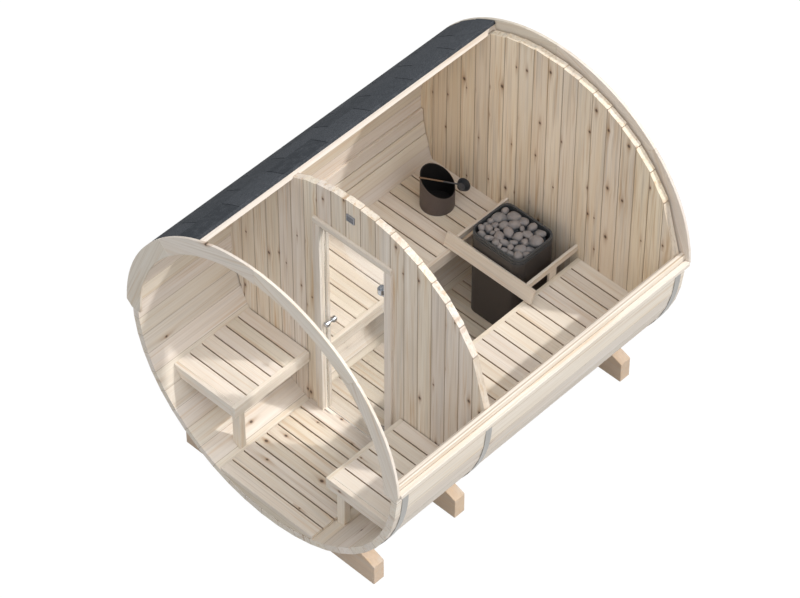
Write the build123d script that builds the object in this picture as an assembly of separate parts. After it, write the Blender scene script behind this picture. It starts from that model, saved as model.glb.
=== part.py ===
from build123d import *
import os
from math import asin, cos, degrees, radians, sin, sqrt

os.makedirs("parts", exist_ok=True)

# A two metre barrel sauna, shown cut open: the roof is taken away between
# the left shoulder and the right side, so the room and the porch can be seen.
# Millimetres. +Z is up, the porch faces -Y, the ground is at Z = 0.
# Angles go round the barrel from its top, clockwise as seen from the porch.

# Angles of the barrel's sides, level with its axis
right_side = 90.0
left_side = 270.0

# Barrel of staves
barrel_radius = 1000.0
stave_thickness = 42.0
stave_length = 2298.0
stave_count = 33
rim_angle = 85.0
roof_edge_angle = 332.5
bead_depth = 7.0
stave_gap = 0.6
underside_gap = 35.0

# End walls, let into a groove round the inside of the staves
wall_thickness = 42.0
groove_depth = 10.0
groove_play = 0.5
porch_depth = 712.0
rear_chime = 14.0

# Cradles
cradle_thickness = 80.0
cradle_half_length = 738.0
cradle_end_height = 148.0
cradle_bevel_angle = 21.0
cradle_play = 0.2
cradle_end_setback = 93.0
cradle_behind_partition = 25.0

# Arched boards on both ends
arch_overhang = 26.0
arch_width = 106.0
arch_thickness = 18.0
arch_joint_gap = 0.4
arch_foot_clip = 42.0

# Roofing, eaves and straps
roofing_inner_play = 0.5
roofing_top_thickness = 19.0
roofing_butt_thickness = 24.0
roofing_overhang = 20.0
roofing_courses = 7
batten_width = 34.0
batten_height = 28.0
batten_top = 56.0
batten_play = 0.2
strap_width = 46.0
strap_thickness = 2.0
strap_play = 0.3
strap_front_setback = 42.0
strap_rear_setback = 33.0
strap_before_partition = 28.0

# Floor
floor_rise = 93.0
floor_board_thickness = 22.0
bearer_thickness = 28.0
fit_play = 0.5

# Doorway and glass door
doorway_half_width = 240.0
over_door_height = 326.0
casing_width = 50.0
casing_head_width = 40.0
casing_thickness = 20.0
jamb_thickness = 30.0
jamb_proud = 9.0
joint_gap = 0.4
threshold_lip = 12.0
stop_width = 10.0
stop_depth = 21.0
glass_thickness = 8.0
glass_hinge_gap = 5.0
glass_free_gap = 8.0
glass_top_gap = 8.0
glass_floor_gap = 10.0
glass_stop_gap = 12.0
hinge_axis_inset = 26.0
hinge_axis_forward = 22.0
hinge_drop = 172.0
hinge_rise = 180.0
hinge_boss_radius = 20.0
hinge_boss_height = 34.0
hinge_knuckle_radius = 11.0
hinge_knuckle_height = 12.0
hinge_knuckle_gap = 1.0
hinge_pin_radius = 4.0
hinge_pin_play = 0.08
clamp_radius = 15.0
clamp_thickness = 4.0
knob_height = 755.0
knob_inset = 34.0
knob_radius = 17.0
knob_length = 30.0
knob_chamfer = 5.0
knob_neck_radius = 7.0
knob_neck_length = 10.0

# Benches
bench_half_gap = 278.0
bench_height = 449.0
slat_thickness = 26.0
slat_gap = 8.0
slat_pitch = 94.0
rail_thickness = 28.0
rail_height = 80.0
joist_width = 40.0
joist_height = 45.0
porch_bench_half_gap = 350.0
porch_bench_height = 399.0
porch_bench_front = 122.0
porch_bench_back_gap = 6.0
porch_bench_slats = 6
leg_width = 58.0
leg_depth = 45.0
leg_setback = 54.0
backrest_slats = 3
backrest_slat_width = 86.0
backrest_slat_thickness = 20.0
backrest_top_angle = 266.9
backrest_end_gap = 6.0

# Heater, stones and guard
heater_width = 386.0
heater_depth = 320.0
heater_height = 650.0
heater_corner = 60.0
heater_rear_gap = 92.0
heater_wall = 12.0
heater_pit_depth = 130.0
heater_groove = 4.0
heater_bead = 14.0
stone_play = 1.5
stone_level = 22.0
stone_shoulder = 25.0
guard_above_bench = 100.0
guard_board_width = 95.0
guard_board_thickness = 18.0
guard_lean = 20.0
guard_front_gap = 6.0
guard_overhang = 56.0
guard_rail_thickness = 19.0
guard_rail_height = 42.0
guard_post_length = 60.0
guard_post_setback = 182.0

# Bucket and ladle
bucket_radius = 102.5
bucket_wall = 4.0
bucket_base = 6.0
bucket_mean_height = 185.0
bucket_rim_slope = 32.0
bucket_rim_turn = 11.5
bucket_from_edge = 314.0
bucket_rear_gap = 243.0
ladle_play = 0.1
ladle_rod_radius = 5.0
ladle_turn = 51.0
ladle_bowl_radius = 42.0
ladle_bowl_foot_radius = 26.0
ladle_bowl_depth = 36.0
ladle_bowl_wall = 2.0
ladle_overhang = 165.0
ladle_brim_rise = 1.0
ladle_rod_seat = 3.5

# Vent grille
vent_drop_from_top = 156.0
vent_offset = -15.0
vent_width = 58.0
vent_height = 47.0
vent_thickness = 8.0
vent_frame = 5.0
vent_bar = 3.0
vent_bars = 5

# Worked out from the values above
axis_height = barrel_radius + underside_gap
inner_radius = barrel_radius - stave_thickness
wall_radius = inner_radius + groove_depth
arch_outer_radius = barrel_radius + arch_overhang
arch_inner_radius = arch_outer_radius - arch_width
stave_pitch = (roof_edge_angle - rim_angle) / stave_count
bore_radius = inner_radius * cos(radians(stave_pitch / 2)) - fit_play
front_end = -stave_length / 2
rear_end = stave_length / 2
partition_front = front_end + porch_depth
partition_rear = partition_front + wall_thickness
rear_wall_rear = rear_end - rear_chime
rear_wall_front = rear_wall_rear - wall_thickness
floor_top = floor_rise - inner_radius
doorway_head = wall_radius - over_door_height
bench_top = floor_top + bench_height
porch_bench_top = floor_top + porch_bench_height
casing_front = partition_front - casing_thickness
jamb_rear = partition_rear + jamb_proud
stop_front = jamb_rear - stop_depth
glass_rear = stop_front - glass_stop_gap
glass_front = glass_rear - glass_thickness
rough_half_width = doorway_half_width + jamb_thickness + fit_play
hinge_x = doorway_half_width - hinge_axis_inset
hinge_y = glass_front - hinge_axis_forward


def export(node, shape):
    export_step(shape, f"parts/{node}.step")


def ring_point(radius, angle):
    return (radius * sin(radians(angle)), radius * cos(radians(angle)))


def along_barrel(profile, front, rear):
    """Extrude a profile of the barrel's cross-section from front to rear."""
    section = Plane(origin=(0, rear, axis_height), x_dir=(1, 0, 0), z_dir=(0, -1, 0))
    return extrude(section * profile, amount=rear - front)


def block(x_low, x_high, y_low, y_high, z_low, z_high):
    """A squared timber between two corners, with Z counted from the barrel's axis."""
    size = Box(x_high - x_low, y_high - y_low, z_high - z_low)
    middle = ((x_low + x_high) / 2, (y_low + y_high) / 2, axis_height + (z_low + z_high) / 2)
    return Pos(*middle) * size


def round_bar(radius, front, rear, x=0.0, z=0.0):
    """A round bar along Y."""
    return along_barrel(Pos(x, z) * Circle(radius), front, rear)


def ring_sector(inner, outer, start, end):
    middle = (start + end) / 2
    with BuildLine() as edge:
        ThreePointArc(ring_point(outer, start), ring_point(outer, middle), ring_point(outer, end))
        Line(ring_point(outer, end), ring_point(inner, end))
        ThreePointArc(ring_point(inner, end), ring_point(inner, middle), ring_point(inner, start))
        Line(ring_point(inner, start), ring_point(outer, start))
    return make_face(edge.edges())


def inside_bore(shape):
    """Trim a timber to the flats inside the staves."""
    return shape & round_bar(bore_radius, front_end, rear_end)


# Staves: a rounded bead along one edge seats in the cove of the next
def edge_bulge(angle, depth):
    """Middle of a stave's edge, pushed back round the barrel by depth."""
    middle = ring_point((barrel_radius + inner_radius) / 2, angle)
    return (middle[0] - depth * cos(radians(angle)), middle[1] + depth * sin(radians(angle)))


def stave_profile(start, end, cove):
    half_gap = degrees(stave_gap / 2 / barrel_radius)
    first = start + half_gap
    last = end - half_gap
    with BuildLine() as edge:
        Line(ring_point(barrel_radius, first), ring_point(barrel_radius, last))
        if cove:
            ThreePointArc(
                ring_point(barrel_radius, last),
                edge_bulge(last, bead_depth),
                ring_point(inner_radius, last),
            )
        else:
            Line(ring_point(barrel_radius, last), ring_point(inner_radius, last))
        Line(ring_point(inner_radius, last), ring_point(inner_radius, first))
        ThreePointArc(
            ring_point(inner_radius, first),
            edge_bulge(first, bead_depth),
            ring_point(barrel_radius, first),
        )
    return make_face(edge.edges())


def wall_groove(front, rear):
    return round_bar(wall_radius + groove_play, front - groove_play, rear + groove_play)


def stave(number):
    start = rim_angle + number * stave_pitch
    profile = stave_profile(start, start + stave_pitch, number < stave_count - 1)
    plank = along_barrel(profile, front_end, rear_end)
    plank = plank - wall_groove(partition_front, partition_rear)
    return plank - wall_groove(rear_wall_front, rear_wall_rear)


def make_staves():
    groups = {
        "staves_right": range(0, 9),
        "staves_bottom": range(9, 16),
        "staves_left": range(16, 25),
        "staves_upper_left": range(25, stave_count),
    }
    for node, numbers in groups.items():
        export(node, Compound([stave(number) for number in numbers]))


# End walls
def make_partition():
    disc = round_bar(wall_radius, partition_front, partition_rear)
    head_top = doorway_head + jamb_thickness + fit_play
    sill_top = floor_top - floor_board_thickness
    far = wall_radius + 1
    left = block(-far, -rough_half_width, partition_front, partition_rear, -far, far)
    right = block(rough_half_width, far, partition_front, partition_rear, -far, far)
    over = block(-rough_half_width, rough_half_width, partition_front, partition_rear, head_top, far)
    sill = block(-rough_half_width, rough_half_width, partition_front, partition_rear, -far, sill_top)
    export("partition_left", disc & left)
    export("partition_right", disc & right)
    export("partition_over_and_under_door", Compound([disc & over, disc & sill]))


def make_rear_wall():
    export("rear_wall", round_bar(wall_radius, rear_wall_front, rear_wall_rear))


# Cradles that the barrel lies in
def make_cradles():
    inward = cradle_half_length / 2
    bevel_rise = inward * sin(radians(cradle_bevel_angle)) / cos(radians(cradle_bevel_angle))
    shoulder = cradle_end_height - axis_height
    points = [
        (-cradle_half_length, -axis_height),
        (cradle_half_length, -axis_height),
        (cradle_half_length, shoulder),
        (cradle_half_length - inward, shoulder + bevel_rise),
        (inward - cradle_half_length, shoulder + bevel_rise),
        (-cradle_half_length, shoulder),
    ]
    profile = make_face(Polyline(*points, close=True).edges()) - Circle(barrel_radius + cradle_play)
    fronts = {
        "front": front_end + cradle_end_setback,
        "middle": partition_front + cradle_behind_partition,
        "rear": rear_end - cradle_end_setback - cradle_thickness,
    }
    for name, front in fronts.items():
        export(f"cradle_{name}", along_barrel(profile, front, front + cradle_thickness))


# Arched boards that cover both ends, two boards to each half
def arch_board(start, end):
    half_gap = degrees(arch_joint_gap / 2 / arch_outer_radius)
    return ring_sector(arch_inner_radius, arch_outer_radius, start + half_gap, end - half_gap)


def foot_clip(side):
    """Corner cut off the foot of an arch, under the eaves batten."""
    corner = side * (arch_outer_radius + 1)
    inward = side * (arch_outer_radius - arch_foot_clip)
    points = [(corner, arch_foot_clip + 1), (corner, -1), (inward, -1)]
    return make_face(Polyline(*points, close=True).edges())


def make_arches():
    for end, front in (("front", front_end - arch_thickness), ("rear", rear_end)):
        for side_name, side in (("left", -1), ("right", 1)):
            upper = arch_board(*sorted((0, side * 45.0)))
            lower = arch_board(*sorted((side * 45.0, side * 90.0))) - foot_clip(side)
            boards = [along_barrel(board, front, front + arch_thickness) for board in (upper, lower)]
            export(f"arch_{end}_{side_name}", Compound(boards))


# Roofing in overlapping courses, thicker at the butt of each course
def roofing_course(start, end):
    """Start is the butt edge, lower down the roof, and end is the top edge."""
    inner = barrel_radius + roofing_inner_play
    middle = (start + end) / 2
    mean = (roofing_butt_thickness + roofing_top_thickness) / 2
    butt = barrel_radius + roofing_butt_thickness
    top = barrel_radius + roofing_top_thickness
    with BuildLine() as edge:
        ThreePointArc(ring_point(inner, start), ring_point(inner, middle), ring_point(inner, end))
        Line(ring_point(inner, end), ring_point(top, end))
        ThreePointArc(
            ring_point(top, end),
            ring_point(barrel_radius + mean, middle),
            ring_point(butt, start),
        )
        Line(ring_point(butt, start), ring_point(inner, start))
    return along_barrel(make_face(edge.edges()), front_end, rear_end)


def make_roofing():
    eaves_angle = left_side + degrees(asin((batten_top + fit_play) / barrel_radius))
    upper_angle = roof_edge_angle + degrees(roofing_overhang / barrel_radius)
    pitch = (upper_angle - eaves_angle) / roofing_courses
    gap = degrees(fit_play / barrel_radius)
    courses = []
    for number in range(roofing_courses):
        start = eaves_angle + number * pitch
        courses.append(roofing_course(start, start + pitch - gap))
    export("roofing", Compound(courses))


def make_eaves_battens():
    inner = barrel_radius + batten_play
    outer = inner + batten_width
    low = batten_top - batten_height
    left = block(-outer, -inner, front_end, rear_end, low, batten_top)
    right = block(inner, outer, front_end, rear_end, low, batten_top)
    export("eaves_battens", Compound([left, right]))


def make_straps():
    inner = barrel_radius + strap_play
    lift = degrees(asin((batten_top - batten_height - fit_play) / inner))
    band = ring_sector(inner, inner + strap_thickness, right_side - lift, left_side + lift)
    fronts = (
        front_end + strap_front_setback,
        partition_front - strap_before_partition,
        rear_end - strap_rear_setback - strap_width,
    )
    export("straps", Compound([along_barrel(band, front, front + strap_width) for front in fronts]))


def threshold(margin):
    """The doorway's sill board, level with the floors, grown by a margin all round."""
    half_width = doorway_half_width + jamb_thickness + margin
    return block(
        -half_width, half_width, partition_front - threshold_lip - margin,
        partition_rear + threshold_lip + margin, floor_top - floor_board_thickness - margin,
        floor_top + margin,
    )


# Floor boards lie on the staves and on bearers cut to the curve
def make_floor():
    low = floor_top - floor_board_thickness
    half_width = sqrt(bore_radius ** 2 - low ** 2)
    notch = threshold(fit_play)
    porch_rear = partition_front - fit_play
    room_front = partition_rear + fit_play
    room_rear = rear_wall_front - fit_play
    export("porch_floor", block(-half_width, half_width, front_end, porch_rear, low, floor_top) - notch)
    export("room_floor", block(-half_width, half_width, room_front, room_rear, low, floor_top) - notch)
    segment = Circle(bore_radius) & Pos(0, low - fit_play - barrel_radius) * Rectangle(
        2 * barrel_radius, 2 * barrel_radius
    )
    room_span = rear_wall_front - partition_rear
    fronts = [
        front_end + 2,
        partition_front - 3 * bearer_thickness,
        partition_rear + 2 * bearer_thickness,
        partition_rear + room_span / 2,
        rear_wall_front - 3 * bearer_thickness,
    ]
    bearers = [along_barrel(segment, front, front + bearer_thickness) for front in fronts]
    export("floor_bearers", Compound(bearers))


# Doorway
def door_surround(clear_half, clear_head, width, head_width, front, rear):
    """Two uprights with a head board across their tops, round a clear opening."""
    outer = clear_half + width
    left = block(-outer, -clear_half, front, rear, floor_top, clear_head)
    right = block(clear_half, outer, front, rear, floor_top, clear_head)
    head = block(-outer, outer, front, rear, clear_head + joint_gap, clear_head + head_width)
    return [left, right, head]


def make_doorway():
    casing = door_surround(
        doorway_half_width, doorway_head, casing_width, casing_head_width, casing_front, partition_front
    )
    export("door_casing", Compound(casing))
    jamb = door_surround(
        doorway_half_width, doorway_head, jamb_thickness, jamb_thickness, partition_front, jamb_rear
    )
    export("door_jamb", Compound(jamb))
    stops = door_surround(
        doorway_half_width - stop_width, doorway_head - stop_width, stop_width, stop_width,
        stop_front, jamb_rear,
    )
    export("door_stops", Compound(stops))
    export("threshold", threshold(0))


# Glass door with its clamped hinges and knobs
def make_door_glass():
    left = glass_free_gap - doorway_half_width
    right = doorway_half_width - glass_hinge_gap
    low = floor_top + glass_floor_gap
    high = doorway_head - glass_top_gap
    export("door_glass", block(left, right, glass_front, glass_rear, low, high))


def hinge_heights():
    return (doorway_head - hinge_drop, floor_top + hinge_rise)


def upright(radius, z_low, z_high):
    bar = Cylinder(radius, z_high - z_low)
    return Pos(hinge_x, hinge_y, axis_height + (z_low + z_high) / 2) * bar


def make_door_hinges():
    leaves = []
    pintles = []
    half = hinge_boss_height / 2
    knuckle_low = half + hinge_knuckle_gap
    knuckle_high = knuckle_low + hinge_knuckle_height
    for z in hinge_heights():
        boss = upright(hinge_boss_radius, z - half, z + half)
        pad_x = (hinge_x - hinge_boss_radius, hinge_x + clamp_radius)
        pad = block(*pad_x, hinge_y, glass_front, z - half, z + half)
        bore = upright(hinge_pin_radius + hinge_pin_play, z - half, z + half)
        leaves.append(boss + pad - bore)
        clamp_x = hinge_x - clamp_radius / 2
        leaves.append(round_bar(clamp_radius, glass_rear, glass_rear + clamp_thickness, clamp_x, z))
        pin = upright(hinge_pin_radius, z - knuckle_high, z + knuckle_high)
        pintle = pin
        for low, high in ((-knuckle_high, -knuckle_low), (knuckle_low, knuckle_high)):
            pintle += upright(hinge_knuckle_radius, z + low, z + high)
            plate_y = (hinge_y - hinge_knuckle_radius / 2, hinge_y + hinge_knuckle_radius / 2)
            pintle += block(hinge_x, doorway_half_width, *plate_y, z + low, z + high)
        pintles.append(pintle)
    export("hinge_leaves", Compound(leaves))
    export("hinge_pintles", Compound(pintles))


def knob(z, x, start, side):
    """A turned knob on a short neck, standing out from the glass along side."""
    neck_end = start + side * knob_neck_length
    knob_end = neck_end + side * knob_length
    neck = round_bar(knob_neck_radius, *sorted((start, neck_end)), x, z)
    head = round_bar(knob_radius, *sorted((neck_end, knob_end)), x, z)
    head = chamfer(head.edges().filter_by(GeomType.CIRCLE), knob_chamfer)
    return neck + head


def make_door_knobs():
    x = glass_free_gap - doorway_half_width + knob_inset
    z = floor_top + knob_height
    export("door_knobs", Compound([knob(z, x, glass_front, -1), knob(z, x, glass_rear, 1)]))


# Benches: slats across, a rail along the free edge, joists into the staves
def bench_slats(x_inner, x_outer, front, rear, count, top):
    pitch = (rear - front + slat_gap) / count
    slats = []
    for number in range(count):
        y = front + number * pitch
        slat = block(*sorted((x_inner, x_outer)), y, y + pitch - slat_gap, top - slat_thickness, top)
        slats.append(inside_bore(slat))
    return slats


def bench_joists(x_inner, x_outer, fronts, top):
    joists = []
    for y in fronts:
        joist = block(*sorted((x_inner, x_outer)), y, y + joist_width, top - joist_height, top)
        joists.append(inside_bore(joist))
    return joists


def make_room_benches():
    front = partition_rear + jamb_proud + fit_play
    rear = rear_wall_front - fit_play
    count = round((rear - front) / slat_pitch)
    joist_fronts = (front, (front + rear - joist_width) / 2, rear - joist_width)
    rails = []
    joists = []
    for name, side in (("left", -1), ("right", 1)):
        face = side * bench_half_gap
        behind = side * (bench_half_gap + rail_thickness)
        wall = side * barrel_radius
        slats = bench_slats(behind, wall, front, rear, count, bench_top)
        export(f"bench_{name}_slats", Compound(slats))
        rails.append(block(*sorted((face, behind)), front, rear, bench_top - rail_height, bench_top))
        joists += bench_joists(behind, wall, joist_fronts, bench_top - slat_thickness)
    export("bench_rails", Compound(rails))
    export("bench_joists", Compound(joists))


def make_porch_benches():
    front = front_end + porch_bench_front
    rear = partition_front - porch_bench_back_gap
    slats_front = front + rail_thickness
    underside = porch_bench_top - slat_thickness
    rails = []
    supports = []
    for name, side in (("left", -1), ("right", 1)):
        face = side * porch_bench_half_gap
        behind = side * (porch_bench_half_gap + rail_thickness)
        wall = side * barrel_radius
        slats = bench_slats(
            behind, wall, slats_front + joint_gap, rear, porch_bench_slats, porch_bench_top
        )
        export(f"porch_bench_{name}_slats", Compound(slats))
        span = (porch_bench_top - rail_height, porch_bench_top)
        rails.append(block(*sorted((face, behind)), front, rear, *span))
        front_rail = block(*sorted((behind + side * joint_gap, wall)), front, slats_front, *span)
        rails.append(inside_bore(front_rail))
        supports += bench_joists(behind, wall, (rear - joist_width,), underside)
        leg_front = front + leg_setback
        leg_sides = sorted((behind, behind + side * leg_width))
        leg = block(*leg_sides, leg_front, leg_front + leg_depth, -barrel_radius, underside)
        supports.append(inside_bore(leg))
    export("porch_bench_rails", Compound(rails))
    export("porch_bench_supports", Compound(supports))


def make_backrest():
    """Flat slats on the flats of the left staves, above the left bench."""
    face = bore_radius * cos(asin(backrest_slat_width / 2 / bore_radius))
    step = degrees((backrest_slat_width + slat_gap) / face)
    first = backrest_top_angle - degrees(backrest_slat_width / 2 / face)
    slats = []
    for number in range(backrest_slats):
        angle = first - number * step
        centre = face - backrest_slat_thickness / 2
        board = Rectangle(backrest_slat_thickness, backrest_slat_width)
        profile = Pos(*ring_point(centre, angle)) * Rot(0, 0, 90 - angle) * board
        slats.append(
            along_barrel(profile, partition_rear + backrest_end_gap, rear_wall_front - backrest_end_gap)
        )
    export("backrest", Compound(slats))


# Heater
def heater_outline(inset, corner_inset):
    width = heater_width - 2 * inset
    depth = heater_depth - 2 * inset
    return RectangleRounded(width, depth, heater_corner - corner_inset)


def on_floor(height):
    y = rear_wall_front - heater_rear_gap - heater_depth / 2
    return Pos(0, y, axis_height + floor_top + height)


def make_heater():
    body = on_floor(0) * extrude(heater_outline(0, 0), amount=heater_height)
    pit_floor = heater_height - heater_pit_depth
    pit = on_floor(pit_floor) * extrude(heater_outline(heater_wall, heater_wall), amount=heater_pit_depth)
    body -= pit
    ring = heater_outline(-1, -1) - heater_outline(heater_groove, heater_groove)
    for number in (1, 2):
        height = heater_height - number * heater_bead - (number - 1) * heater_groove
        body -= on_floor(height - heater_groove) * extrude(ring, amount=heater_groove)
    export("heater_body", body)
    inset = heater_wall + stone_play
    level = heater_pit_depth - stone_level
    stones = on_floor(pit_floor) * extrude(heater_outline(inset, inset), amount=level)
    top_edges = stones.faces().sort_by(Axis.Z)[-1].edges()
    export("heater_stones", chamfer(top_edges, stone_shoulder))


def side_profile(points, x_low, x_high):
    """Extrude a profile of (Y, Z) points between two X, with Z counted from the barrel's axis."""
    side = Plane(origin=(x_low, 0, axis_height), x_dir=(0, 1, 0), z_dir=(1, 0, 0))
    return extrude(side * make_face(Polyline(*points, close=True).edges()), amount=x_high - x_low)


def make_heater_guard():
    """A board that leans in front of the heater and a rail each side, held up by the benches."""
    across = guard_board_thickness * cos(radians(guard_lean))
    drop = guard_board_thickness * sin(radians(guard_lean))
    reach = guard_board_width * sin(radians(guard_lean))
    fall = guard_board_width * cos(radians(guard_lean))
    top = bench_top + guard_above_bench
    back = rear_wall_front - heater_rear_gap - heater_depth - guard_front_gap
    board = [
        (back - across, top),
        (back, top - drop),
        (back - reach, top - drop - fall),
        (back - across - reach, top - fall),
    ]
    half_length = bench_half_gap + guard_overhang
    export("guard_board", side_profile(board, -half_length, half_length))
    low = top - guard_rail_height
    slope = reach / fall
    rear = rear_wall_front - fit_play
    rail = [
        (back + slope * drop, top),
        (rear, top),
        (rear, low),
        (back - slope * (top - drop - low), low),
    ]
    post_rear = rear_wall_front - guard_post_setback
    post_foot = bench_top - rail_height
    rails = []
    for side in (-1, 1):
        span = sorted((side * (bench_half_gap - guard_rail_thickness), side * bench_half_gap))
        post = block(*span, post_rear - guard_post_length, post_rear, post_foot, low)
        rails.append(side_profile(rail, *span) + post)
    export("guard_rails", Compound(rails))


# Bucket with a slanting rim, and the ladle that lies across it
def bucket_place():
    x = -bench_half_gap - bucket_from_edge
    y = rear_wall_front - bucket_rear_gap
    return Pos(x, y, axis_height + bench_top)


def rim_plane():
    """Local frame with its origin in the middle of the rim, Z square to the rim."""
    turn = Rot(0, 0, bucket_rim_turn) * Rot(0, bucket_rim_slope, 0)
    return bucket_place() * Pos(0, 0, bucket_mean_height) * turn


def make_bucket():
    tall = 2 * bucket_mean_height
    outer = bucket_place() * extrude(Circle(bucket_radius), amount=tall)
    hollow = extrude(Circle(bucket_radius - bucket_wall), amount=tall)
    inner = bucket_place() * Pos(0, 0, bucket_base) * hollow
    above_rim = rim_plane() * Pos(0, 0, tall) * Box(4 * tall, 4 * tall, 2 * tall)
    export("bucket", outer - inner - above_rim)


def ladle_cup():
    """The ladle's bowl, turned from a profile, with its brim at the top of the rod."""
    slope = (ladle_bowl_radius - ladle_bowl_foot_radius) / ladle_bowl_depth
    inner_foot = ladle_bowl_foot_radius + slope * ladle_bowl_wall - ladle_bowl_wall
    points = [
        (0, -ladle_bowl_depth),
        (ladle_bowl_foot_radius, -ladle_bowl_depth),
        (ladle_bowl_radius, 0),
        (ladle_bowl_radius - ladle_bowl_wall, 0),
        (inner_foot, ladle_bowl_wall - ladle_bowl_depth),
        (0, ladle_bowl_wall - ladle_bowl_depth),
    ]
    profile = Plane.XZ * make_face(Polyline(*points, close=True).edges())
    return revolve(profile, Axis.Z)


def make_ladle():
    lift = ladle_rod_radius + ladle_play
    start = -bucket_radius / cos(radians(bucket_rim_slope))
    line = rim_plane() * Rot(0, 0, ladle_turn - bucket_rim_turn) * Pos(0, 0, lift)
    cup = line * Pos(ladle_overhang, 0, ladle_rod_radius + ladle_brim_rise) * ladle_cup()
    length = ladle_overhang - start - ladle_bowl_radius + ladle_rod_seat
    rod = line * Pos(start, 0, 0) * Rot(0, 90, 0) * extrude(Circle(ladle_rod_radius), amount=length)
    export("ladle", rod + cup)


def make_vent_grille():
    """A framed grille of flat bars on the front of the partition, over the door."""
    z = barrel_radius - vent_drop_from_top
    front = partition_front - vent_thickness
    left = vent_offset - vent_width / 2
    right = vent_offset + vent_width / 2
    low = z - vent_height / 2
    high = z + vent_height / 2
    clear = vent_height - 2 * vent_frame
    grille = block(left, right, front, partition_front, low, high)
    grille -= block(
        left + vent_frame, right - vent_frame, front, partition_front, low + vent_frame, high - vent_frame
    )
    for number in range(1, vent_bars):
        bar_low = low + vent_frame + number * clear / vent_bars - vent_bar / 2
        grille += block(
            left + vent_frame, right - vent_frame, front + vent_bar, partition_front,
            bar_low, bar_low + vent_bar,
        )
    export("vent_grille", grille)


make_staves()
make_partition()
make_rear_wall()
make_cradles()
make_arches()
make_roofing()
make_eaves_battens()
make_straps()
make_floor()
make_doorway()
make_door_glass()
make_door_hinges()
make_door_knobs()
make_room_benches()
make_porch_benches()
make_backrest()
make_heater()
make_heater_guard()
make_bucket()
make_ladle()
make_vent_grille()
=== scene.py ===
from math import atan2, pi, radians, sqrt
from random import Random

import bmesh
import bpy
import numpy
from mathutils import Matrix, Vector


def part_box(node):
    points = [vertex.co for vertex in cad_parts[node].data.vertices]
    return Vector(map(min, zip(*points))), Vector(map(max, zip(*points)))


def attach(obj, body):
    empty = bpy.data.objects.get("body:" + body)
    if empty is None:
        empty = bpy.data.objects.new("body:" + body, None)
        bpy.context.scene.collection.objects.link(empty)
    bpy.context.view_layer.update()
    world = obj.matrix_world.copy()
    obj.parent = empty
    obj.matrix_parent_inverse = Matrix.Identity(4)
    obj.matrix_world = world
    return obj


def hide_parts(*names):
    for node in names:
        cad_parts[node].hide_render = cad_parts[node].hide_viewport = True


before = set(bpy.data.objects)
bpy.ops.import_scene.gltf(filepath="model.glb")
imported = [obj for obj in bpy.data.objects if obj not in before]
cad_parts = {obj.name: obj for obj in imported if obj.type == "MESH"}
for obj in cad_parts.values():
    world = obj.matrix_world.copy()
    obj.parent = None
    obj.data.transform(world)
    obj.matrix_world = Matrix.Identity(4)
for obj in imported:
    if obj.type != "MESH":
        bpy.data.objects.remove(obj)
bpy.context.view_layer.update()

# A barrel sauna of unpainted softwood with its roof cut open.
# Metres, in the frame of the model: X to the right seen from the porch, Y to the rear, Z up.

# Places taken from the frame
wall_low, wall_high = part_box("rear_wall")
AXIS_Z = (wall_low.z + wall_high.z) / 2
WALL_RADIUS = (wall_high.x - wall_low.x) / 2
slat_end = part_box("bench_right_slats")[1]
BORE_RADIUS = sqrt(slat_end.x ** 2 + (AXIS_Z - slat_end.z) ** 2)


# Building node trees
def join(tree, socket, value):
    """Link a socket to another one, or set its own value."""
    if isinstance(value, bpy.types.NodeSocket):
        tree.links.new(value, socket)
    elif value is not None:
        socket.default_value = value


def add(tree, kind, *values, settings=None, **named):
    """Add a node with its settings, and fill its inputs in order or by name."""
    made = tree.nodes.new(kind)
    for key, value in (settings or {}).items():
        setattr(made, key, value)
    for index, value in enumerate(values):
        join(tree, made.inputs[index], value)
    for name, value in named.items():
        join(tree, made.inputs[name.replace("_", " ")], value)
    return made


def math(tree, operation, *values):
    return add(tree, "ShaderNodeMath", *values, settings={"operation": operation}).outputs[0]


def squared(tree, value):
    return math(tree, "POWER", value, 2.0)


def vector_math(tree, operation, *values):
    made = add(tree, "ShaderNodeVectorMath", *values, settings={"operation": operation})
    return made.outputs[0]


def scaled(tree, vector, factor):
    made = add(tree, "ShaderNodeVectorMath", vector, settings={"operation": "SCALE"}, Scale=factor)
    return made.outputs[0]


def xyz(tree, x, y, z):
    return add(tree, "ShaderNodeCombineXYZ", x, y, z).outputs[0]


def split(tree, vector):
    return add(tree, "ShaderNodeSeparateXYZ", vector).outputs


def remap(tree, value, low, high, new_low=0.0, new_high=1.0):
    made = add(tree, "ShaderNodeMapRange", value, low, high, new_low, new_high)
    return made.outputs[0]


def blend(tree, factor, first, second, kind="MIX"):
    """Mix two colours."""
    made = tree.nodes.new("ShaderNodeMix")
    made.data_type = "RGBA"
    made.blend_type = kind
    join(tree, made.inputs[0], factor)
    join(tree, made.inputs[6], first)
    join(tree, made.inputs[7], second)
    return made.outputs[2]


def new_group(name, kind, inputs, outputs):
    """A node group with named sockets; inputs and outputs are (name, socket type, default)."""
    tree = bpy.data.node_groups.new(name, kind)
    for way, sockets in (("INPUT", inputs), ("OUTPUT", outputs)):
        for label, socket_type, default in sockets:
            made = tree.interface.new_socket(label, in_out=way, socket_type=socket_type)
            if default is not None:
                made.default_value = default
    given = tree.nodes.new("NodeGroupInput").outputs
    result = tree.nodes.new("NodeGroupOutput").inputs
    return tree, given, result


def new_material(name):
    """A material with its tree and its Principled shader."""
    material = bpy.data.materials.new(name)
    material.use_nodes = True
    tree = material.node_tree
    return material, tree, tree.nodes["Principled BSDF"]


def object_place(tree):
    return add(tree, "ShaderNodeTexCoord").outputs["Object"]


def own_number(tree):
    """The number between 0 and 1 that each board, tab or stone carries."""
    return add(tree, "ShaderNodeAttribute", settings={"attribute_name": "board"}).outputs["Fac"]


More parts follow.
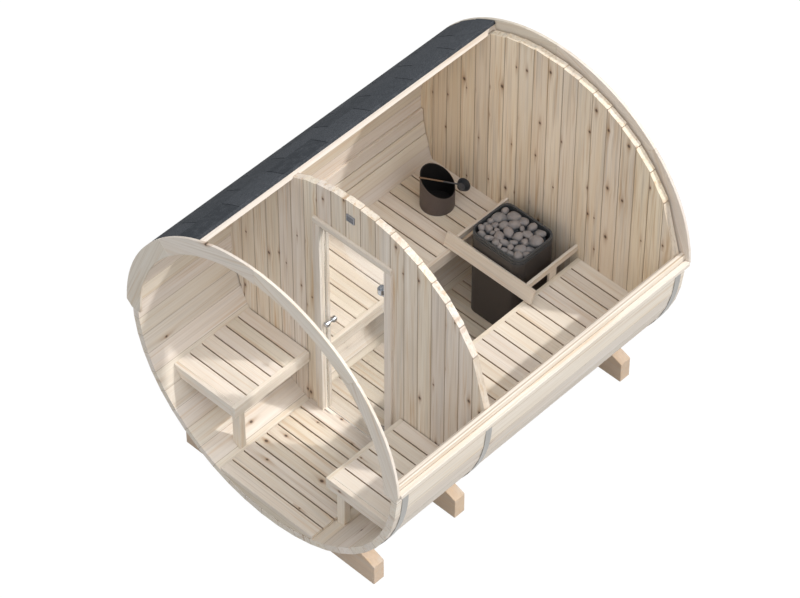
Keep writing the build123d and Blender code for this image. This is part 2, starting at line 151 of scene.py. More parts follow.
def bump_into(tree, shader, height, strength, distance=0.001):
    bump = add(tree, "ShaderNodeBump", Strength=strength, Distance=distance, Height=height)
    join(tree, shader.inputs["Normal"], bump.outputs[0])


FLOAT = "NodeSocketFloat"
INT = "NodeSocketInt"
VECTOR = "NodeSocketVector"
COLOUR = "NodeSocketColor"
GEOMETRY = "NodeSocketGeometry"


# Softwood. Cells and noises are counted a metre, along and across the grain.
BOARD_SHIFT = (53.0, 17.0, 31.0)
KNOT_CELLS = (2.6, 9.5)
KNOT_RADII = (0.004, 0.010)
KNOT_STRETCH = 0.75
SMEAR_LENGTH = 0.055
SMEAR_WIDTH = 1.3
GRAIN_SWING = -0.6
SWING_FADE = -0.08
TONE_STEP = 7.31
BOARD_TONES = (0.91, 1.04)
BLUE_STEP = 13.7
BOARD_BLUES = (0.96, 1.02)
ORANGE = (0.62, 0.41, 0.21, 1)
THREAD_BROWN = (0.50, 0.38, 0.27, 1)
HALO_BROWN = (0.40, 0.23, 0.11, 1)
KNOT_BROWN = (0.085, 0.050, 0.035, 1)


def stretched_noise(tree, place, along, across, detail=2.0):
    """Noise drawn out along the grain."""
    spot = vector_math(tree, "MULTIPLY", place, (along, across, across))
    return add(tree, "ShaderNodeTexNoise", spot, Scale=1.0, Detail=detail, Roughness=0.55).outputs[0]


def make_softwood_group():
    """Planed softwood. Position runs X along the grain, Y across the board and Z through it."""
    tree, given, result = new_group(
        "planed softwood", "ShaderNodeTree",
        [
            ("Position", VECTOR, None),
            ("Board", FLOAT, 0.5),
            ("Pale", COLOUR, (0.86, 0.77, 0.67, 1)),
            ("Tan", COLOUR, (0.66, 0.52, 0.36, 1)),
            ("Grey", COLOUR, (0.61, 0.54, 0.47, 1)),
            ("Streaks", FLOAT, 0.5),
            ("Knots", FLOAT, 0.5),
        ],
        [("Color", COLOUR, None), ("Roughness", FLOAT, None), ("Height", FLOAT, None)],
    )
    board = given["Board"]
    shift = vector_math(tree, "MULTIPLY", xyz(tree, board, board, board), BOARD_SHIFT)
    place = vector_math(tree, "ADD", given["Position"], shift)
    # Knots: some cells of a stretched pattern hold one
    cell = vector_math(tree, "MULTIPLY", place, (*KNOT_CELLS, 0.0))
    knots = add(tree, "ShaderNodeTexVoronoi", cell, settings={"voronoi_dimensions": "2D"}, Scale=1.0,
                Randomness=0.9)
    away = vector_math(tree, "SUBTRACT", cell, knots.outputs["Position"])
    away = split(tree, vector_math(tree, "DIVIDE", away, (*KNOT_CELLS, 1.0)))
    chance = split(tree, knots.outputs["Color"])
    has_knot = math(tree, "LESS_THAN", chance[0], given["Knots"])
    radius = remap(tree, chance[1], 0.0, 1.0, *KNOT_RADII)
    square = math(tree, "ADD", squared(tree, math(tree, "MULTIPLY", away[0], KNOT_STRETCH)),
                  squared(tree, away[1]))
    ratio = math(tree, "DIVIDE", math(tree, "SQRT", square), radius)
    core = math(tree, "MULTIPLY", has_knot, remap(tree, ratio, 1.15, 0.65))
    halo = math(tree, "MULTIPLY", has_knot, remap(tree, ratio, 2.3, 0.9))
    along = squared(tree, math(tree, "DIVIDE", away[0], SMEAR_LENGTH))
    across = squared(tree, math(tree, "DIVIDE", away[1], math(tree, "MULTIPLY", radius, SMEAR_WIDTH)))
    smear = math(tree, "EXPONENT", math(tree, "MULTIPLY", math(tree, "ADD", along, across), -1.0))
    smear = math(tree, "MULTIPLY", smear, has_knot)
    # The grain parts round a knot
    near = math(tree, "MULTIPLY", math(tree, "MULTIPLY", ratio, ratio), SWING_FADE)
    near = math(tree, "EXPONENT", near)
    swing = math(tree, "MULTIPLY", math(tree, "MULTIPLY", near, away[1]),
                 math(tree, "MULTIPLY", has_knot, GRAIN_SWING))
    bent = vector_math(tree, "ADD", place, xyz(tree, 0.0, swing, 0.0))
    broad = remap(tree, stretched_noise(tree, bent, 0.8, 13.0), 0.32, 0.70)
    lines = remap(tree, stretched_noise(tree, bent, 1.9, 60.0), 0.35, 0.72)
    fine = stretched_noise(tree, bent, 4.0, 260.0, 3.0)
    moved = vector_math(tree, "ADD", bent, (9.3, 4.1, 2.7))
    warm = remap(tree, stretched_noise(tree, moved, 1.5, 42.0), 0.56, 0.74)
    moved = vector_math(tree, "ADD", bent, (3.7, 8.2, 6.1))
    cool = remap(tree, stretched_noise(tree, moved, 1.2, 30.0), 0.52, 0.72)
    moved = vector_math(tree, "ADD", bent, (5.9, 1.2, 7.7))
    threads = remap(tree, stretched_noise(tree, moved, 1.3, 120.0), 0.56, 0.66)
    # Each kind of streak covers its share of the wood below it
    colour = given["Pale"]
    for streak, share, shade in (
        (broad, 0.42, given["Tan"]), (lines, 0.50, given["Tan"]), (cool, 0.60, given["Grey"]),
        (warm, 0.75, ORANGE), (threads, 0.42, THREAD_BROWN),
    ):
        cover = math(tree, "MULTIPLY", streak, math(tree, "MULTIPLY", given["Streaks"], share))
        colour = blend(tree, cover, colour, shade)
    # Boards differ a little
    tone = math(tree, "FRACT", math(tree, "MULTIPLY", board, TONE_STEP))
    tone = remap(tree, tone, 0.0, 1.0, *BOARD_TONES)
    blue = math(tree, "FRACT", math(tree, "MULTIPLY", board, BLUE_STEP))
    blue = remap(tree, blue, 0.0, 1.0, *BOARD_BLUES)
    level = xyz(tree, tone, tone, math(tree, "MULTIPLY", tone, blue))
    colour = blend(tree, 1.0, colour, level, "MULTIPLY")
    for mark, share, shade in (
        (smear, 0.55, HALO_BROWN), (halo, 0.50, HALO_BROWN), (core, 0.92, KNOT_BROWN),
    ):
        colour = blend(tree, math(tree, "MULTIPLY", mark, share), colour, shade)
    join(tree, result["Color"], colour)
    join(tree, result["Roughness"], remap(tree, lines, 0.0, 1.0, 0.64, 0.50))
    join(tree, result["Height"], math(tree, "SUBTRACT", math(tree, "MULTIPLY", fine, 0.6), lines))
    return tree


SOFTWOOD = make_softwood_group()


def make_wood(name, pale, tan, streaks, knots, relief=0.15):
    """Softwood for pieces that carry the attributes grain and board."""
    material, tree, shader = new_material(name)
    grain = add(tree, "ShaderNodeAttribute", settings={"attribute_name": "grain"})
    wood = add(
        tree, "ShaderNodeGroup", settings={"node_tree": SOFTWOOD}, Position=grain.outputs["Vector"],
        Board=own_number(tree), Pale=(*pale, 1), Tan=(*tan, 1), Streaks=streaks, Knots=knots,
    ).outputs
    join(tree, shader.inputs["Base Color"], wood["Color"])
    join(tree, shader.inputs["Roughness"], wood["Roughness"])
    bump_into(tree, shader, wood["Height"], relief)
    return material


def make_mottle_group():
    """A fine mottle in the colour, gloss and relief of paint or metal."""
    tree, given, result = new_group(
        "fine mottle", "ShaderNodeTree",
        [
            ("Position", VECTOR, None), ("Paint", COLOUR, (0.5, 0.5, 0.5, 1)),
            ("Darkest", FLOAT, 0.9), ("Brightest", FLOAT, 1.1),
            ("Smoothest", FLOAT, 0.44), ("Roughest", FLOAT, 0.56), ("Fineness", FLOAT, 60.0),
        ],
        [("Color", COLOUR, None), ("Roughness", FLOAT, None), ("Height", FLOAT, None)],
    )
    noise = add(
        tree, "ShaderNodeTexNoise", given["Position"], Scale=given["Fineness"], Detail=4.0
    ).outputs[0]
    level = remap(tree, noise, 0.3, 0.7, given["Darkest"], given["Brightest"])
    colour = blend(tree, 1.0, given["Paint"], xyz(tree, level, level, level), "MULTIPLY")
    join(tree, result["Color"], colour)
    join(tree, result["Roughness"], remap(tree, noise, 0.3, 0.7, given["Smoothest"], given["Roughest"]))
    join(tree, result["Height"], noise)
    return tree


MOTTLE = make_mottle_group()
GLOSS_SPREAD = 0.06


def make_plain(name, colour, roughness, metallic, mottle, fineness, relief):
    """Painted, cast or metal surface with a fine mottle."""
    material, tree, shader = new_material(name)
    finish = add(
        tree, "ShaderNodeGroup", settings={"node_tree": MOTTLE}, Position=object_place(tree),
        Paint=(*colour, 1), Darkest=1 - mottle, Brightest=1 + mottle,
        Smoothest=roughness - GLOSS_SPREAD, Roughest=roughness + GLOSS_SPREAD, Fineness=fineness,
    ).outputs
    join(tree, shader.inputs["Base Color"], finish["Color"])
    shader.inputs["Metallic"].default_value = metallic
    join(tree, shader.inputs["Roughness"], finish["Roughness"])
    bump_into(tree, shader, finish["Height"], relief)
    return material


PALE = (0.86, 0.785, 0.705)
TAN = (0.68, 0.54, 0.39)
PANEL_WOOD = make_wood("panel_softwood", (0.87, 0.79, 0.705), TAN, 1.0, 0.60)
# Painted light: the rear wall's wood is paler and warmer than the panel wood, for the light bounced round
# the room
REAR_WOOD_PAINTED_LIGHT = make_wood("rear_wall_softwood", (0.94, 0.84, 0.71), (0.80, 0.63, 0.43), 0.95, 0.60)
TRIM_WOOD = make_wood("trim_softwood", PALE, TAN, 0.55, 0.12)
BENCH_WOOD = make_wood("bench_softwood", PALE, TAN, 0.55, 0.07)
FLOOR_WOOD = make_wood("floor_softwood", (0.83, 0.745, 0.65), TAN, 0.75, 0.16)
CRADLE_WOOD = make_wood("cradle_softwood", (0.67, 0.51, 0.37), (0.48, 0.34, 0.22), 0.70, 0.12)


GLASS_TINTS = ((0.93, 0.95, 0.94, 1), (0.98, 0.985, 0.98, 1))
SUN_LET_THROUGH = 0.88


def make_glass():
    """Clear glass with a faint film of dust, which lets the sun through to what is behind it."""
    material, tree, shader = new_material("door_glass_clear")
    film = add(tree, "ShaderNodeTexNoise", object_place(tree), Scale=9.0, Detail=3.0).outputs[0]
    join(tree, shader.inputs["Base Color"], blend(tree, film, *GLASS_TINTS))
    join(tree, shader.inputs["Roughness"], remap(tree, film, 0.4, 0.8, 0.0, 0.02))
    shadow = add(tree, "ShaderNodeLightPath").outputs["Is Shadow Ray"]
    join(tree, shader.inputs["Alpha"], math(tree, "MULTIPLY_ADD", shadow, -SUN_LET_THROUGH, 1.0))
    shader.inputs["IOR"].default_value = 1.45
    shader.inputs["Transmission Weight"].default_value = 1.0
    return material


GLASS = make_glass()
CHROME = make_plain("hinge_polished_chrome", (0.50, 0.51, 0.53), 0.22, 1.0, 0.03, 200.0, 0.02)
BAND_STEEL = make_plain("band_dull_steel", (0.42, 0.41, 0.39), 0.42, 0.8, 0.12, 90.0, 0.05)
HEATER_BLACK = make_plain("heater_matt_black", (0.062, 0.054, 0.052), 0.42, 0.2, 0.15, 220.0, 0.2)
BUCKET_BLACK = make_plain("bucket_matt_black", (0.095, 0.074, 0.068), 0.5, 0.0, 0.15, 160.0, 0.15)
LADLE_METAL = make_plain("ladle_dark_metal", (0.13, 0.135, 0.15), 0.38, 0.8, 0.12, 200.0, 0.1)
VENT_METAL = make_plain("vent_grey_metal", (0.34, 0.35, 0.38), 0.4, 0.6, 0.1, 200.0, 0.05)
# Painted shade: the brown that darkens the sides of slats and floor boards inside their gaps
PAINTED_GAP_SHADE = (0.40, 0.250, 0.150, 1)
# Painted shade: the brown that darkens the chamfered grooves between standing boards
PAINTED_SEAM_SHADE = (0.33, 0.225, 0.145, 1)
GRIP_BROWN = (0.34, 0.23, 0.16, 1)
RIM_BLUE_GREY = (0.075, 0.082, 0.090, 1)
# Painted shade: the near-black inside of the bucket
PAINTED_BUCKET_SHADE = (0.012, 0.011, 0.011, 1)


def make_seam_group():
    """Marks the chamfers and sides of standing boards, but not their tops, where shade is painted in the
    grooves between boards.
    """
    tree, given, result = new_group(
        "board seams", "ShaderNodeTree", [("Facing", VECTOR, None), ("Strength", FLOAT, 0.6)],
        [("Mask", FLOAT, None)],
    )
    facing = split(tree, given["Facing"])
    sideways = remap(tree, math(tree, "ABSOLUTE", facing[0]), 0.3, 0.5, 0.0, given["Strength"])
    upright = remap(tree, math(tree, "ABSOLUTE", facing[2]), 0.30, 0.15)
    join(tree, result["Mask"], math(tree, "MULTIPLY", sideways, upright))
    return tree


def make_gap_group():
    """Marks the sides of slats that look into a gap, where shade is painted."""
    tree, given, result = new_group(
        "slat gap painted shade", "ShaderNodeTree",
        [("Facing", VECTOR, None), ("Gap Side", FLOAT, 0.0), ("Strength", FLOAT, 0.6)],
        [("Mask", FLOAT, None)],
    )
    facing = math(tree, "ABSOLUTE", split(tree, given["Facing"])[1])
    sideways = remap(tree, facing, 0.75, 0.9, 0.0, given["Strength"])
    join(tree, result["Mask"], math(tree, "MULTIPLY", given["Gap Side"], sideways))
    return tree


SEAMS = make_seam_group()
GAPS = make_gap_group()
JOINT_STRENGTH = 0.60
RIM_HEIGHTS = (0.060, 0.030)
RIM_STRENGTH = 0.85
BUCKET_WALL = (0.0012, 0.0022)
GRIP_SHARE = 0.46
GRIP_EDGE = 0.002


def tint_where(material, mask, colour):
    """Give part of a material another colour, where the mask built by a function is white."""
    tree = material.node_tree
    shader = tree.nodes["Principled BSDF"]
    before = shader.inputs["Base Color"].links[0].from_socket
    place = split(tree, object_place(tree))
    join(tree, shader.inputs["Base Color"], blend(tree, mask(tree, place), before, colour))


def heater_rim(tree, place):
    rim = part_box("heater_body")[1].z
    return remap(tree, place[2], rim - RIM_HEIGHTS[0], rim - RIM_HEIGHTS[1], 0.0, RIM_STRENGTH)


# Painted shade: the bucket is darkened everywhere inside its outer wall
def bucket_inside_shade(tree, place):
    low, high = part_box("bucket")
    across = squared(tree, math(tree, "SUBTRACT", place[0], (low.x + high.x) / 2))
    behind = squared(tree, math(tree, "SUBTRACT", place[1], (low.y + high.y) / 2))
    away = math(tree, "SQRT", math(tree, "ADD", across, behind))
    radius = (high.x - low.x) / 2
    return remap(tree, away, radius - BUCKET_WALL[0], radius - BUCKET_WALL[1])


def ladle_grip(tree, place):
    low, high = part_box("ladle")
    middle = low.x + (high.x - low.x) * GRIP_SHARE
    return remap(tree, place[0], middle, middle - GRIP_EDGE)


# Painted shade on the slat sides that look into a gap
def painted_gap_shade(tree, place):
    facing = add(tree, "ShaderNodeNewGeometry").outputs["True Normal"]
    marked = add(tree, "ShaderNodeAttribute", settings={"attribute_name": "gap_side"}).outputs["Fac"]
    return add(
        tree, "ShaderNodeGroup", settings={"node_tree": GAPS}, Facing=facing, Gap_Side=marked,
        Strength=JOINT_STRENGTH,
    ).outputs["Mask"]


# Painted shade on the chamfers and sides of standing boards
def painted_seam_shade(tree, place):
    facing = add(tree, "ShaderNodeNewGeometry").outputs["True Normal"]
    return add(
        tree, "ShaderNodeGroup", settings={"node_tree": SEAMS}, Facing=facing,
        Strength=JOINT_STRENGTH,
    ).outputs["Mask"]


# Painted shade in the grooves between the wall boards
tint_where(PANEL_WOOD, painted_seam_shade, PAINTED_SEAM_SHADE)
tint_where(REAR_WOOD_PAINTED_LIGHT, painted_seam_shade, PAINTED_SEAM_SHADE)
SLAT_WOOD = make_wood("slat_softwood", PALE, TAN, 0.55, 0.07)
# Painted shade in the gaps between slats and between floor boards
tint_where(SLAT_WOOD, painted_gap_shade, PAINTED_GAP_SHADE)
tint_where(FLOOR_WOOD, painted_gap_shade, PAINTED_GAP_SHADE)
tint_where(HEATER_BLACK, heater_rim, RIM_BLUE_GREY)
# Painted shade inside the bucket
tint_where(BUCKET_BLACK, bucket_inside_shade, PAINTED_BUCKET_SHADE)
tint_where(LADLE_METAL, ladle_grip, GRIP_BROWN)


# Heater stones and roofing felt
STONE_GREYS = ((0.33, 0.29, 0.28, 1), (0.25, 0.235, 0.235, 1))
STONE_CLOUD = (0.36, 0.32, 0.29, 1)
# Painted shade for the stones low in the basket
STONE_SHADE = (0.060, 0.070, 0.082, 1)
STONE_SPECKLE = (0.11, 0.11, 0.12, 1)
STONE_SHADE_DEPTHS = (0.004, 0.026)
FELT_GREYS = ((0.036, 0.042, 0.050, 1), (0.074, 0.081, 0.092, 1))
FELT_PATCH = (0.085, 0.092, 0.104, 1)
FELT_GRIT = (0.022, 0.024, 0.030, 1)
FELT_RUST = (0.30, 0.20, 0.16, 1)


def make_stone():
    """Rounded heater stones, each of its own grey, speckled, and with painted shade that darkens them down
    in the basket.
    """
    material, tree, shader = new_material("heater_stone_grey")
    place = object_place(tree)
    speckle = add(tree, "ShaderNodeTexNoise", place, Scale=420.0, Detail=3.0).outputs[0]
    cloud = add(tree, "ShaderNodeTexNoise", place, Scale=34.0, Detail=4.0).outputs[0]
    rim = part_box("heater_body")[1].z
    # Painted shade: darker towards the bottom of the basket
    shade = remap(tree, split(tree, place)[2], *(rim - depth for depth in STONE_SHADE_DEPTHS))
    base = blend(tree, own_number(tree), *STONE_GREYS)
    base = blend(tree, remap(tree, cloud, 0.45, 0.7, 0.0, 0.5), base, STONE_CLOUD)
    base = blend(tree, shade, base, STONE_SHADE)
    base = blend(tree, remap(tree, speckle, 0.5, 0.75, 0.0, 0.45), base, STONE_SPECKLE)
    join(tree, shader.inputs["Base Color"], base)
    join(tree, shader.inputs["Roughness"], remap(tree, cloud, 0.3, 0.7, 0.70, 0.86))
    height = math(tree, "ADD", cloud, math(tree, "MULTIPLY", speckle, 0.4))
    bump_into(tree, shader, height, 0.5, 0.0015)
    return material


def make_felt():
    """Slate-grey mineral felt, each tab of its own shade, with a few rusty grains."""
    material, tree, shader = new_material("roofing_slate_felt")
    place = object_place(tree)
    grit = add(tree, "ShaderNodeTexNoise", place, Scale=170.0, Detail=3.0, Roughness=0.7).outputs[0]
    patch = add(tree, "ShaderNodeTexNoise", place, Scale=26.0, Detail=4.0).outputs[0]
    base = blend(tree, own_number(tree), *FELT_GREYS)
    base = blend(tree, remap(tree, patch, 0.42, 0.68, 0.0, 0.5), base, FELT_PATCH)
    base = blend(tree, remap(tree, grit, 0.48, 0.66, 0.0, 0.9), base, FELT_GRIT)
    rust = math(tree, "MULTIPLY", remap(tree, grit, 0.34, 0.28), remap(tree, patch, 0.48, 0.58))
    base = blend(tree, math(tree, "MULTIPLY", rust, 0.8), base, FELT_RUST)
    join(tree, shader.inputs["Base Color"], base)
    join(tree, shader.inputs["Roughness"], remap(tree, grit, 0.3, 0.7, 0.82, 0.96))
    bump_into(tree, shader, grit, 0.7, 0.0012)
    return material


STONE = make_stone()
ROOFING = make_felt()


# Copies of the model's own pieces with softened edges and a grain
def island_list(mesh):
    """The separate solids of a mesh, in the order of its vertices, each as a list of them."""
    reached = set()
    islands = []
    for start in mesh.verts:
        if start in reached:
            continue
        reached.add(start)
        island = [start]
        front = [start]
        while front:
            for edge in front.pop().link_edges:
                for vert in edge.verts:
                    if vert not in reached:
                        reached.add(vert)
                        island.append(vert)
                        front.append(vert)
        islands.append(island)
    return islands


def long_axes(points):
    """A board's middle and its own directions, longest first, from the spread of its corners."""
    middle = sum(points, Vector()) / len(points)
    spread = [p - middle for p in points]
    matrix = [[sum(p[i] * p[j] for p in spread) for j in range(3)] for i in range(3)]
    _, directions = numpy.linalg.eigh(numpy.array(matrix))
    return middle, [Vector(directions[:, k]) for k in (2, 1, 0)]


# Steps that spread the solids' own numbers evenly between 0 and 1
SOLID_STEP = 0.6180339
SEED_STEP = 0.7548776


def set_grain(mesh, seed, along=None):
    """Write each solid's grain coordinates and its own number."""
    grain = mesh.verts.layers.float_vector.new("grain")
    board = mesh.verts.layers.float.new("board")
    for number, island in enumerate(island_list(mesh)):
        middle, axes = long_axes([vert.co for vert in island])
        if along is not None:
            length = Vector(along)
            across = axes[0] if abs(axes[0].dot(length)) < 0.5 else axes[1]
            across = (across - length * across.dot(length)).normalized()
            axes = [length, across, length.cross(across)]
        own = ((number + 1) * SOLID_STEP + seed * SEED_STEP) % 1.0
        for vert in island:
            local = vert.co - middle
            vert[grain] = Vector([local.dot(axis) for axis in axes])
            vert[board] = own


def bare_copy(node):
    """The node's mesh with its loose triangles joined up and its flat faces merged."""
    mesh = bmesh.new()
    mesh.from_mesh(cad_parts[node].data)
    bmesh.ops.remove_doubles(mesh, verts=mesh.verts, dist=1e-5)
    bmesh.ops.dissolve_limit(mesh, angle_limit=radians(0.5), verts=mesh.verts, edges=mesh.edges)
    return mesh


def finish_piece(mesh, name, material, body, nodes):
    data = bpy.data.meshes.new(name)
    mesh.to_mesh(data)
    mesh.free()
    data.materials.append(material)
    piece = bpy.data.objects.new(name, data)
    bpy.context.scene.collection.objects.link(piece)
    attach(piece, body)
    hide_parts(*nodes)


SHARP_ANGLE = radians(30)


def softened(node, material, arris, seed, along=None, segments=1):
    """A copy of a node with its sharp edges taken off, where it is given an arris."""
    mesh = bare_copy(node)
    if arris:
        sharp = [
            edge for edge in mesh.edges
            if len(edge.link_faces) == 2 and edge.calc_face_angle(0) > SHARP_ANGLE
        ]
        bmesh.ops.bevel(
            mesh, geom=sharp, offset=arris, segments=segments, profile=0.5, affect="EDGES",
            clamp_overlap=True,
        )
    set_grain(mesh, seed, along)
    finish_piece(mesh, node + "_finished", material, "root", [node])


# Rows of boards by geometry nodes
def board_along_z(tree, width, thickness, arris, steps):
    """A board one metre long, standing up, its width along X and its thickness along Y."""
    outline = add(tree, "GeometryNodeCurvePrimitiveQuadrilateral", Width=width, Height=thickness)
    rounded = add(
        tree, "GeometryNodeFilletCurve", settings={"mode": "POLY"}, Curve=outline.outputs[0],
        Radius=arris, Count=steps,
    )
    path = add(tree, "GeometryNodeCurvePrimitiveLine", Start=(0, 0, 0), End=(0, 0, 1))
    swept = add(
        tree, "GeometryNodeCurveToMesh", Curve=path.outputs[0], Profile_Curve=rounded.outputs[0],
        Fill_Caps=True,
    )
    return swept.outputs[0]


def row_with_numbers(tree, board, count, start, offset, seed):
    """Place the board in a row, give each its own number and realize them."""
    line = add(
        tree, "GeometryNodeMeshLine", Count=count, Start_Location=start, Offset=offset,
        settings={"mode": "OFFSET"},
    )
    placed = add(tree, "GeometryNodeInstanceOnPoints", Points=line.outputs[0], Instance=board)
    number = add(tree, "FunctionNodeRandomValue", settings={"data_type": "FLOAT"}, Seed=seed)
    stored = add(
        tree, "GeometryNodeStoreNamedAttribute",
        settings={"data_type": "FLOAT", "domain": "INSTANCE"},
        Geometry=placed.outputs[0], Name="board", Value=number.outputs[1],
    )
    return add(tree, "GeometryNodeRealizeInstances", Geometry=stored.outputs[0]).outputs[0]


def end_tree(tree, geometry, grain, given, result):
    """Store the grain, set the material and close the tree."""
    stored = add(
        tree, "GeometryNodeStoreNamedAttribute",
        settings={"data_type": "FLOAT_VECTOR", "domain": "POINT"},
        Geometry=geometry, Name="grain", Value=grain,
    )
    flat = add(tree, "GeometryNodeSetShadeSmooth", Geometry=stored.outputs[0], Shade_Smooth=False)
    finished = add(
        tree, "GeometryNodeSetMaterial", Geometry=flat.outputs[0], Material=given["Material"]
    )
    join(tree, result["Geometry"], finished.outputs[0])


def chord(tree, radius, value):
    """Half the width of a circle at a distance from its middle."""
    square = math(tree, "SUBTRACT", math(tree, "MULTIPLY", radius, radius),
                  math(tree, "MULTIPLY", value, value))
    return math(tree, "SQRT", math(tree, "MAXIMUM", square, 0.0))


def make_upright_boards():
    """Standing boards with chamfered edges, their ends cut to a circle."""
    tree, given, result = new_group(
        "upright boards", "GeometryNodeTree",
        [
            ("Count", INT, 5), ("First", FLOAT, 0.0), ("Pitch", FLOAT, 0.1), ("Joint", FLOAT, 0.0005),
            ("Thickness", FLOAT, 0.04), ("Groove", FLOAT, 0.003), ("Middle", FLOAT, 0.0),
            ("Axis", FLOAT, 1.0), ("Radius", FLOAT, 1.0), ("Lowest", FLOAT, -2.0),
            ("Highest", FLOAT, 2.0), ("Tooth", FLOAT, 0.0), ("Seed", INT, 0),
            ("Material", "NodeSocketMaterial", None),
        ],
        [("Geometry", GEOMETRY, None)],
    )
    width = math(tree, "SUBTRACT", given["Pitch"], given["Joint"])
    board = board_along_z(tree, width, given["Thickness"], given["Groove"], 1)
    row = row_with_numbers(
        tree, board, given["Count"], xyz(tree, given["First"], given["Middle"], 0.0),
        xyz(tree, given["Pitch"], 0.0, 0.0), given["Seed"],
    )
    place = split(tree, add(tree, "GeometryNodeInputPosition").outputs[0])
    # Each top is cut a little flatter than the circle, so the joints show as small steps
    steps = math(tree, "DIVIDE", math(tree, "SUBTRACT", place[0], given["First"]), given["Pitch"])
    within = math(tree, "FRACT", math(tree, "ADD", steps, 0.5))
    outward = math(tree, "MULTIPLY", math(tree, "SUBTRACT", within, 0.5), math(tree, "SIGN", place[0]))
    inward = math(tree, "SUBTRACT", 0.5, outward)
    radius = math(tree, "SUBTRACT", given["Radius"], math(tree, "MULTIPLY", inward, given["Tooth"]))
    half = chord(tree, radius, place[0])
    level = math(tree, "MULTIPLY", half, math(tree, "MULTIPLY_ADD", place[2], 2.0, -1.0))
    level = math(tree, "MINIMUM", math(tree, "MAXIMUM", level, given["Lowest"]), given["Highest"])
    spot = xyz(tree, place[0], place[1], math(tree, "ADD", level, given["Axis"]))
    cut = add(tree, "GeometryNodeSetPosition", Geometry=row, Position=spot).outputs[0]
    after = split(tree, add(tree, "GeometryNodeInputPosition").outputs[0])
    end_tree(tree, cut, xyz(tree, after[2], after[0], after[1]), given, result)
    return tree


# How far into a row its end faces are left unmarked
ROW_END_REACH = 0.0045


def make_cross_boards():
    """Boards across the barrel, one behind the other, their outer ends cut to its bore."""
    tree, given, result = new_group(
        "cross boards", "GeometryNodeTree",
        [
            ("Count", INT, 5), ("First", FLOAT, 0.0), ("Pitch", FLOAT, 0.1), ("Gap", FLOAT, 0.008),
            ("Thickness", FLOAT, 0.02), ("Arris", FLOAT, 0.003), ("Top", FLOAT, 0.0),
            ("Axis", FLOAT, 1.0), ("Bore", FLOAT, 1.0), ("Side", FLOAT, 1.0), ("Inner", FLOAT, 0.0),
            ("Longest", FLOAT, 2.0), ("Seed", INT, 0), ("Material", "NodeSocketMaterial", None),
        ],
        [("Geometry", GEOMETRY, None)],
    )
    width = math(tree, "SUBTRACT", given["Pitch"], given["Gap"])
    board = board_along_z(tree, given["Thickness"], width, given["Arris"], 2)
    lying = add(tree, "GeometryNodeTransform", Geometry=board, Rotation=(0, pi / 2, 0)).outputs[0]
    middle = math(tree, "SUBTRACT", given["Top"], math(tree, "MULTIPLY", given["Thickness"], 0.5))
    row = row_with_numbers(
        tree, lying, given["Count"], xyz(tree, 0.0, given["First"], middle),
        xyz(tree, 0.0, given["Pitch"], 0.0), given["Seed"],
    )
    place = split(tree, add(tree, "GeometryNodeInputPosition").outputs[0])
    reach = chord(tree, given["Bore"], math(tree, "SUBTRACT", place[2], given["Axis"]))
    reach = math(tree, "MINIMUM", reach, given["Longest"])
    span = math(tree, "SUBTRACT", reach, given["Inner"])
    along = math(tree, "MULTIPLY_ADD", span, place[0], given["Inner"])
    spot = xyz(tree, math(tree, "MULTIPLY", along, given["Side"]), place[1], place[2])
    cut = add(tree, "GeometryNodeSetPosition", Geometry=row, Position=spot).outputs[0]
    # Faces that look into a gap are marked for painted shade, those at the row's two ends are not
    half = math(tree, "MULTIPLY", width, 0.5)
    start = math(tree, "SUBTRACT", given["First"], math(tree, "SUBTRACT", half, ROW_END_REACH))
    rest = math(tree, "SUBTRACT", given["Count"], 1.0)
    end = math(tree, "MULTIPLY_ADD", rest, given["Pitch"], given["First"])
    end = math(tree, "ADD", end, math(tree, "SUBTRACT", half, ROW_END_REACH))
    after = split(tree, add(tree, "GeometryNodeInputPosition").outputs[0])
    inner = math(tree, "MULTIPLY", math(tree, "GREATER_THAN", after[1], start),
                 math(tree, "LESS_THAN", after[1], end))
    marked = add(
        tree, "GeometryNodeStoreNamedAttribute", settings={"data_type": "FLOAT", "domain": "POINT"},
        Geometry=cut, Name="gap_side", Value=inner,
    ).outputs[0]
    end_tree(tree, marked, xyz(tree, after[0], after[1], after[2]), given, result)
    return tree


UPRIGHT_BOARDS = make_upright_boards()
CROSS_BOARDS = make_cross_boards()


def point_mesh(name, points, sizes):
    """Loose points that carry their size, for a tree to place pieces on."""
    data = bpy.data.meshes.new(name)
    data.from_pydata(points, [], [])
    layer = data.attributes.new("size", "FLOAT", "POINT")
    layer.data.foreach_set("value", sizes)
    return data


def grown(name, tree, body, slot, nodes, start=None, **values):
    """Run a tree, on start's mesh where given, and keep the result as a plain mesh piece."""
    holder = bpy.data.objects.new(name + "_tree", start or bpy.data.meshes.new(name + "_tree"))
    bpy.context.scene.collection.objects.link(holder)
    modifier = holder.modifiers.new("tree", "NODES")
    modifier.node_group = tree
    for item in tree.interface.items_tree:
        label = item.name.replace(" ", "_")
        if item.in_out == "INPUT" and label in values:
            modifier[item.identifier] = values[label]
    bpy.context.view_layer.update()
    graph = bpy.context.evaluated_depsgraph_get()
    data = bpy.data.meshes.new_from_object(holder.evaluated_get(graph), depsgraph=graph)
    holder.modifiers.remove(modifier)
    bpy.data.objects.remove(holder)
    mesh = bmesh.new()
    mesh.from_mesh(data)
    bmesh.ops.remove_doubles(mesh, verts=mesh.verts, dist=1e-6)
    bmesh.ops.recalc_face_normals(mesh, faces=mesh.faces)
    mesh.to_mesh(data)
    mesh.free()
    data.name = name
    piece = bpy.data.objects.new(name, data)
    bpy.context.scene.collection.objects.link(piece)
    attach(piece, body)
    if nodes:
        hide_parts(*nodes)


# End walls of standing boards
BOARD_JOINT = 0.0006
BOARD_GROOVE = 0.0030
BOARD_STEP = 0.006
DOORWAY_BOARDS = 5
PAST_THE_CIRCLE = 2.0


